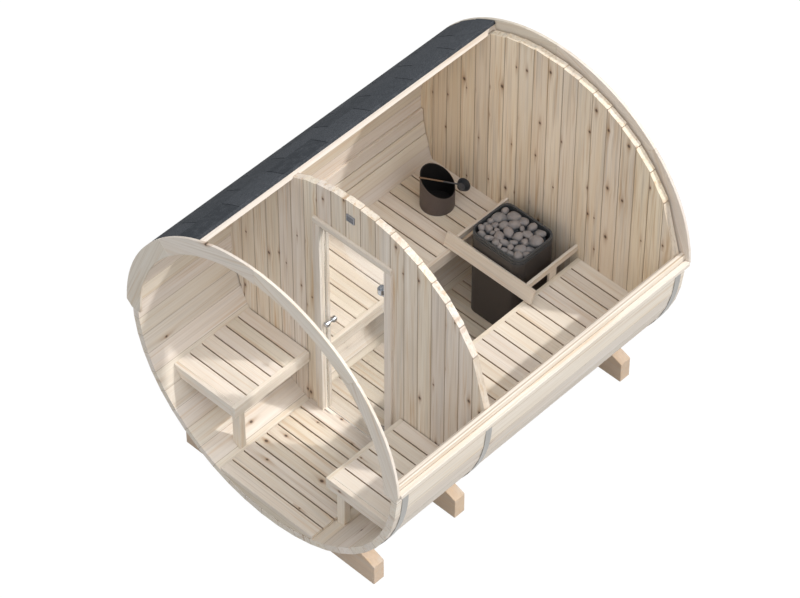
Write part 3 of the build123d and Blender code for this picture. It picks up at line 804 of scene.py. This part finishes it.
def wall_row(name, count):
    """What a row of standing boards takes from the node that it fills."""
    low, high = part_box(name)
    pitch = (high.x - low.x) / count
    return {
        "Count": count, "First": low.x + pitch / 2, "Pitch": pitch, "Middle": (low.y + high.y) / 2,
        "Thickness": high.y - low.y, "Axis": AXIS_Z, "Radius": WALL_RADIUS, "Joint": BOARD_JOINT,
        "Groove": BOARD_GROOVE, "Tooth": BOARD_STEP,
    }


def make_walls():
    for name, count, seed, wood in (
        ("rear_wall", 18, 3, REAR_WOOD_PAINTED_LIGHT), ("partition_left", 7, 11, PANEL_WOOD),
        ("partition_right", 7, 12, PANEL_WOOD),
    ):
        grown(
            name + "_boards", UPRIGHT_BOARDS, "root", "panel_wood", [name], Seed=seed, Material=wood,
            **wall_row(name, count),
        )
    name = "partition_over_and_under_door"
    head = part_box("door_jamb")[1].z - AXIS_Z
    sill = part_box("threshold")[0].z - AXIS_Z
    for part, lowest, highest, seed in (
        ("over", head, PAST_THE_CIRCLE, 13), ("under", -PAST_THE_CIRCLE, sill, 14),
    ):
        grown(
            f"partition_{part}_door_boards", UPRIGHT_BOARDS, "root", "panel_wood", [name],
            Lowest=lowest, Highest=highest, Seed=seed, Material=PANEL_WOOD,
            **wall_row(name, DOORWAY_BOARDS),
        )


# Benches and floors
SLAT_GAP = 0.008
SLAT_ARRIS = 0.0018


def slat_row(name, count):
    """What a row of slats or floor boards takes from the node that it fills."""
    low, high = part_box(name)
    pitch = (high.y - low.y + SLAT_GAP) / count
    return {
        "Count": count, "First": low.y + (pitch - SLAT_GAP) / 2, "Pitch": pitch, "Gap": SLAT_GAP,
        "Thickness": high.z - low.z, "Arris": SLAT_ARRIS, "Top": high.z, "Axis": AXIS_Z,
        "Bore": BORE_RADIUS,
    }


def make_slats():
    for name, count, seed in (
        ("bench_left_slats", 16, 21), ("bench_right_slats", 16, 22),
        ("porch_bench_left_slats", 6, 23), ("porch_bench_right_slats", 6, 24),
    ):
        low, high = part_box(name)
        side = 1.0 if high.x > 0 else -1.0
        inner = min(abs(low.x), abs(high.x))
        grown(
            name + "_finished", CROSS_BOARDS, "root", "bench_wood", [name], Side=side, Inner=inner,
            Seed=seed, Material=SLAT_WOOD, **slat_row(name, count),
        )
    for name, count, seed in (("porch_floor", 8, 31), ("room_floor", 16, 32)):
        low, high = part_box(name)
        grown(
            name + "_boards", CROSS_BOARDS, "root", "floor_wood", [name], Side=1.0, Inner=low.x,
            Longest=high.x, Seed=seed, Material=FLOOR_WOOD, **slat_row(name, count),
        )


# Heater stones, packed side by side in two layers: (seed, drop under the first layer)
STONE_LAYERS = ((17, 0.0), (29, 0.031))
STONE_SIZES = (0.019, 0.037)
STONES_A_LAYER = 35
STONE_RIM_DROP = 0.013
BIGGER_AT_BACK = 0.28
SMALL_SHARE = 1.3
PACKING_ROUNDS = 260
PRESSED_TOGETHER = 0.97
BASKET_CORNER = 0.048
CORNER_GIVE = 0.4
HEAP_RISE = 0.006
UNEVENNESS = 0.012
SUNK_SHARE = 0.15


def packed_circles(count, half_width, half_depth, seed):
    """Push circles apart inside a rounded box until they lie side by side."""
    chance = Random(seed)
    smallest, largest = STONE_SIZES
    radii = [smallest + (largest - smallest) * chance.random() ** SMALL_SHARE for _ in range(count)]
    spots = [Vector((chance.uniform(-half_width, half_width), chance.uniform(-half_depth, half_depth)))
             for _ in range(count)]
    radii = [radius * (1 + BIGGER_AT_BACK * spot.y / half_depth) for radius, spot in zip(radii, spots)]
    for _ in range(PACKING_ROUNDS):
        for first in range(count):
            for second in range(first):
                gap = spots[first] - spots[second]
                wanted = (radii[first] + radii[second]) * PRESSED_TOGETHER
                if gap.length < wanted:
                    push = gap.normalized() * (wanted - gap.length) * 0.5
                    spots[first] += push
                    spots[second] -= push
        for number, spot in enumerate(spots):
            room = (half_width - radii[number], half_depth - radii[number])
            spot.x = min(max(spot.x, -room[0]), room[0])
            spot.y = min(max(spot.y, -room[1]), room[1])
            corner = BASKET_CORNER - radii[number] * CORNER_GIVE
            into = Vector((max(abs(spot.x) - room[0] + corner, 0), max(abs(spot.y) - room[1] + corner, 0)))
            if into.length > corner:
                back = into * (1 - corner / into.length)
                spot.x -= back.x * (1 if spot.x > 0 else -1)
                spot.y -= back.y * (1 if spot.y > 0 else -1)
    return spots, radii


# Smallest and largest length, width and height of a stone, in radii of its circle
STONE_PROPORTIONS = ((1.00, 0.76, 0.62), (1.24, 0.98, 0.82))
STONE_TILT = 0.35


def make_stone_tree():
    """A rounded stone on each point, squashed, turned and dented, in its own way."""
    tree, given, result = new_group(
        "heater stones", "GeometryNodeTree",
        [
            ("Geometry", GEOMETRY, None), ("Seed", INT, 0), ("Dents", FLOAT, 0.0242),
            ("Material", "NodeSocketMaterial", None),
        ],
        [("Geometry", GEOMETRY, None)],
    )
    ball = add(tree, "GeometryNodeMeshIcoSphere", Radius=1.0, Subdivisions=4).outputs[0]
    size = add(tree, "GeometryNodeInputNamedAttribute", settings={"data_type": "FLOAT"}, Name="size")
    shape = add(
        tree, "FunctionNodeRandomValue", *STONE_PROPORTIONS,
        settings={"data_type": "FLOAT_VECTOR"}, Seed=given["Seed"],
    ).outputs[0]
    turn = add(
        tree, "FunctionNodeRandomValue", (-STONE_TILT, -STONE_TILT, 0.0), (STONE_TILT, STONE_TILT, 2 * pi),
        settings={"data_type": "FLOAT_VECTOR"}, Seed=given["Seed"],
    ).outputs[0]
    placed = add(
        tree, "GeometryNodeInstanceOnPoints", Points=given["Geometry"], Instance=ball,
        Rotation=turn, Scale=scaled(tree, shape, size.outputs[0]),
    )
    number = add(tree, "FunctionNodeRandomValue", settings={"data_type": "FLOAT"}, Seed=given["Seed"])
    stored = add(
        tree, "GeometryNodeStoreNamedAttribute",
        settings={"data_type": "FLOAT", "domain": "INSTANCE"},
        Geometry=placed.outputs[0], Name="board", Value=number.outputs[1],
    )
    real = add(tree, "GeometryNodeRealizeInstances", Geometry=stored.outputs[0]).outputs[0]
    place = add(tree, "GeometryNodeInputPosition").outputs[0]
    lumps = add(tree, "ShaderNodeTexNoise", place, Scale=24.0, Detail=2.0, Roughness=0.45).outputs[0]
    dent = math(tree, "MULTIPLY", math(tree, "SUBTRACT", lumps, 0.5), given["Dents"])
    push = scaled(tree, add(tree, "GeometryNodeInputNormal").outputs[0], dent)
    dented = add(tree, "GeometryNodeSetPosition", Geometry=real, Offset=push).outputs[0]
    smooth = add(tree, "GeometryNodeSetShadeSmooth", Geometry=dented).outputs[0]
    finished = add(tree, "GeometryNodeSetMaterial", Geometry=smooth, Material=given["Material"])
    join(tree, result["Geometry"], finished.outputs[0])
    return tree


def make_stones():
    low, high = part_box("heater_stones")
    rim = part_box("heater_body")[1].z
    middle = (low + high) / 2
    half = (high - low) / 2
    points = []
    sizes = []
    for seed, drop in STONE_LAYERS:
        spots, radii = packed_circles(STONES_A_LAYER, half.x, half.y, seed)
        heights = Random(seed + 1)
        for spot, radius in zip(spots, radii):
            heap = HEAP_RISE * (1 - (spot.x / half.x) ** 2)
            sunk = heights.uniform(0.0, UNEVENNESS) + radius * SUNK_SHARE
            z = rim - STONE_RIM_DROP - drop + heap - sunk
            points.append((middle.x + spot.x, middle.y + spot.y, z))
            sizes.append(radius)
    start = point_mesh("heater_stones_places", points, sizes)
    grown(
        "heater_stones_heap", make_stone_tree(), "root", "heater_stone", ["heater_stones"],
        start=start, Seed=5, Material=STONE,
    )


# Roof tabs, bent round the barrel over the courses
TAB_LENGTH = 0.33
TAB_SLOT = 0.006
TAB_THICKNESS = 0.0022
TAB_EDGE = 0.001
COURSE_SHIFT = 0.37
SHIFT_SPREAD = 0.03
TOP_ANGLE = 0.01
FIRST_TAB_SEED = 40


def make_tab_tree():
    """One course of tabs: flat strips in a row along the barrel, bent round its axis."""
    tree, given, result = new_group(
        "roof tabs", "GeometryNodeTree",
        [
            ("Count", INT, 7), ("First", FLOAT, 0.0), ("Pitch", FLOAT, 0.33), ("Slot", FLOAT, 0.006),
            ("Start Angle", FLOAT, 0.0), ("End Angle", FLOAT, 0.1), ("Butt Radius", FLOAT, 1.0),
            ("Top Radius", FLOAT, 1.0), ("Thickness", FLOAT, 0.002), ("Axis", FLOAT, 1.0),
            ("Front", FLOAT, -1.0), ("Rear", FLOAT, 1.0), ("Seed", INT, 0),
            ("Material", "NodeSocketMaterial", None),
        ],
        [("Geometry", GEOMETRY, None)],
    )
    length = math(tree, "SUBTRACT", given["Pitch"], given["Slot"])
    box = add(tree, "GeometryNodeMeshCube", Size=xyz(tree, 1.0, length, 1.0), Vertices_X=5, Vertices_Y=2,
              Vertices_Z=2).outputs[0]
    row = row_with_numbers(
        tree, box, given["Count"], xyz(tree, 0.0, given["First"], 0.0),
        xyz(tree, 0.0, given["Pitch"], 0.0), given["Seed"],
    )
    place = split(tree, add(tree, "GeometryNodeInputPosition").outputs[0])
    share = math(tree, "ADD", place[0], 0.5)
    angle = remap(tree, share, 0.0, 1.0, given["Start Angle"], given["End Angle"])
    base = remap(tree, share, 0.0, 1.0, given["Butt Radius"], given["Top Radius"])
    rise = math(tree, "MULTIPLY", math(tree, "ADD", place[2], 0.5), given["Thickness"])
    radius = math(tree, "ADD", base, rise)
    y = math(tree, "MINIMUM", math(tree, "MAXIMUM", place[1], given["Front"]), given["Rear"])
    spot = xyz(
        tree, math(tree, "MULTIPLY", radius, math(tree, "SINE", angle)), y,
        math(tree, "MULTIPLY_ADD", radius, math(tree, "COSINE", angle), given["Axis"]),
    )
    bent = add(tree, "GeometryNodeSetPosition", Geometry=row, Position=spot).outputs[0]
    end_tree(tree, bent, xyz(tree, y, share, 0.0), given, result)
    return tree


def make_roof_tabs():
    """The felt's visible tabs, laid on the courses of the model."""
    roof_low, roof_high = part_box("roofing")
    mesh = bare_copy("roofing")
    tree = make_tab_tree()
    spans = []
    for island in island_list(mesh):
        angles = [atan2(vert.co.x, vert.co.z - AXIS_Z) for vert in island]
        first = min(angles)
        last = max(angles)
        radii = [sqrt(vert.co.x ** 2 + (vert.co.z - AXIS_Z) ** 2) for vert in island]
        top = max(radius for radius, angle in zip(radii, angles) if angle > last - TOP_ANGLE)
        spans.append((first, last, max(radii), top))
    mesh.free()
    for number, (first, last, butt, top) in enumerate(sorted(spans)):
        offset = (number % 2) * TAB_LENGTH / 2 + (number * COURSE_SHIFT % 1.0) * SHIFT_SPREAD
        start = roof_low.y + TAB_LENGTH / 2 - offset
        count = int((roof_high.y - start + TAB_LENGTH / 2) / TAB_LENGTH) + 1
        grown(
            f"roof_tabs_{number + 1}", tree, "root", "roofing_felt", [], Count=count, First=start,
            Pitch=TAB_LENGTH, Slot=TAB_SLOT, Start_Angle=first, End_Angle=last, Butt_Radius=butt,
            Top_Radius=top, Thickness=TAB_THICKNESS, Axis=AXIS_Z, Front=roof_low.y + TAB_EDGE,
            Rear=roof_high.y - TAB_EDGE, Seed=number + FIRST_TAB_SEED, Material=ROOFING,
        )


# Staves: their joints show as thin brown lines
JOINT_BROWN = (0.30, 0.20, 0.12, 1)
JOINT_REACH = (0.0021, 0.0008)


def make_stave_wood():
    """Softwood with a line along each joint, counted round from the staves on the right."""
    mesh = bare_copy("staves_right")
    middles = []
    for island in island_list(mesh):
        centre = sum((vert.co for vert in island), Vector()) / len(island)
        middles.append(atan2(centre.x, centre.z - AXIS_Z))
    mesh.free()
    pitch = (max(middles) - min(middles)) / (len(middles) - 1)
    material = make_wood("stave_softwood", PALE, TAN, 0.55, 0.18)

    def joint_lines(tree, place):
        upward = math(tree, "SUBTRACT", place[2], AXIS_Z)
        angle = math(tree, "ARCTAN2", place[0], upward)
        turns = math(tree, "DIVIDE", math(tree, "SUBTRACT", angle, min(middles)), pitch)
        away = math(tree, "ABSOLUTE", math(tree, "SUBTRACT", math(tree, "FRACT", turns), 0.5))
        away = math(tree, "MULTIPLY", away, pitch * WALL_RADIUS)
        return remap(tree, away, *JOINT_REACH, 0.0, JOINT_STRENGTH)

    tint_where(material, joint_lines, JOINT_BROWN)
    return material


STAVE_WOOD = make_stave_wood()


TRIM_ARRIS = 0.002
BENCH_ARRIS = 0.003


def make_softened():
    """The model's other wooden pieces, each with a seed of its own."""
    for seed, node in enumerate(("staves_right", "staves_bottom", "staves_left", "staves_upper_left")):
        softened(node, STAVE_WOOD, 0.0, seed, along=(0, 1, 0))
    for seed, node in enumerate(
        ("arch_front_left", "arch_front_right", "arch_rear_left", "arch_rear_right", "eaves_battens",
         "door_casing", "door_jamb", "door_stops", "threshold"), start=10
    ):
        softened(node, TRIM_WOOD, TRIM_ARRIS, seed)
    for seed, node in enumerate(
        ("bench_rails", "bench_joists", "porch_bench_rails", "porch_bench_supports", "backrest",
         "guard_board", "guard_rails"), start=30
    ):
        softened(node, BENCH_WOOD, BENCH_ARRIS, seed, segments=2)
    for seed, node in enumerate(("cradle_front", "cradle_middle", "cradle_rear"), start=50):
        softened(node, CRADLE_WOOD, BENCH_ARRIS, seed)
    softened("floor_bearers", FLOOR_WOOD, TRIM_ARRIS, 60)


def paint_nodes():
    """The nodes that show as the model has them, and the courses under the roof's tabs."""
    for node, material in (
        ("roofing", ROOFING), ("straps", BAND_STEEL), ("door_glass", GLASS), ("hinge_leaves", CHROME),
        ("hinge_pintles", CHROME), ("door_knobs", CHROME), ("heater_body", HEATER_BLACK),
        ("bucket", BUCKET_BLACK), ("ladle", LADLE_METAL), ("vent_grille", VENT_METAL),
    ):
        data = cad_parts[node].data
        data.materials.clear()
        data.materials.append(material)


make_walls()
make_slats()
make_softened()
make_stones()
make_roof_tabs()
paint_nodes()


# Camera, at the photograph's angle
CAMERA_PLACE = (9.142, -9.6325, 15.458)
CAMERA_AZIMUTH = 43.742
CAMERA_ELEVATION = 47.586
CAMERA_LENS = 160.66


def make_camera():
    data = bpy.data.cameras.new("camera")
    data.lens = CAMERA_LENS
    data.sensor_width = 36.0
    data.clip_end = 100.0
    camera = bpy.data.objects.new("camera", data)
    camera.location = CAMERA_PLACE
    camera.rotation_euler = (radians(90 - CAMERA_ELEVATION), 0, radians(CAMERA_AZIMUTH))
    bpy.context.scene.collection.objects.link(camera)
    bpy.context.scene.camera = camera


# Light: a soft key from the rear right, and a surround that is brighter overhead
KEY_DIRECTION = Vector((0.74, 0.64, 1.0))
KEY_STRENGTH = 1.95
KEY_ANGLE = 2.2
SKY_RISE = (0.0, 0.62)
SKY_LOW = 0.03
SKY_HIGH = 1.03
SKY_LEAN = (0.85, -0.35)
DIMMEST_SKY = 0.1
SUN_COLOUR = (1.0, 0.985, 0.96)
SKY_COLOUR = (0.945, 0.972, 1.0, 1)


def make_light():
    lamp = bpy.data.lights.new("key", "SUN")
    lamp.energy = KEY_STRENGTH
    lamp.angle = radians(KEY_ANGLE)
    lamp.color = SUN_COLOUR
    key = bpy.data.objects.new("key", lamp)
    key.rotation_euler = KEY_DIRECTION.to_track_quat("Z", "Y").to_euler()
    key.location = KEY_DIRECTION * 5
    bpy.context.scene.collection.objects.link(key)
    world = bpy.data.worlds.new("surround")
    world.use_nodes = True
    tree = world.node_tree
    background = tree.nodes["Background"]
    background.inputs["Color"].default_value = SKY_COLOUR
    toward = split(tree, add(tree, "ShaderNodeTexCoord").outputs["Generated"])
    level = remap(tree, toward[2], *SKY_RISE, SKY_LOW, SKY_HIGH)
    lean = math(tree, "MULTIPLY_ADD", toward[0], SKY_LEAN[0], 1.0)
    lean = math(tree, "MULTIPLY_ADD", toward[1], SKY_LEAN[1], lean)
    lean = math(tree, "MAXIMUM", lean, DIMMEST_SKY)
    join(tree, background.inputs["Strength"], math(tree, "MULTIPLY", level, lean))
    bpy.context.scene.world = world


# Ground: grey for the light it sends up, and near white where it is seen
GROUND_GREY = (0.32, 0.32, 0.32, 1)
GROUND_GLOW = 1.12
GLOW_SHARE = 0.88
GROUND_REACH = 40


def make_ground():
    material, tree, shader = new_material("ground_pale")
    shader.inputs["Base Color"].default_value = GROUND_GREY
    shader.inputs["Roughness"].default_value = 0.9
    rays = add(tree, "ShaderNodeLightPath").outputs
    glow = add(tree, "ShaderNodeEmission", Color=(1, 1, 1, 1), Strength=GROUND_GLOW)
    seen = math(tree, "MAXIMUM", rays["Is Camera Ray"], rays["Is Glossy Ray"])
    seen = math(tree, "MAXIMUM", seen, rays["Is Transmission Ray"])
    share = math(tree, "MULTIPLY", seen, GLOW_SHARE)
    mixed = add(tree, "ShaderNodeMixShader", share, shader.outputs[0], glow.outputs[0])
    join(tree, tree.nodes["Material Output"].inputs["Surface"], mixed.outputs[0])
    mesh = bmesh.new()
    corners = [
        mesh.verts.new((x * GROUND_REACH, y * GROUND_REACH, 0))
        for x, y in ((-1, -1), (1, -1), (1, 1), (-1, 1))
    ]
    mesh.faces.new(corners)
    data = bpy.data.meshes.new("ground")
    mesh.to_mesh(data)
    mesh.free()
    data.materials.append(material)
    ground = bpy.data.objects.new("ground", data)
    bpy.context.scene.collection.objects.link(ground)


make_camera()
make_light()
make_ground()
bpy.context.scene.view_settings.view_transform = "Standard"
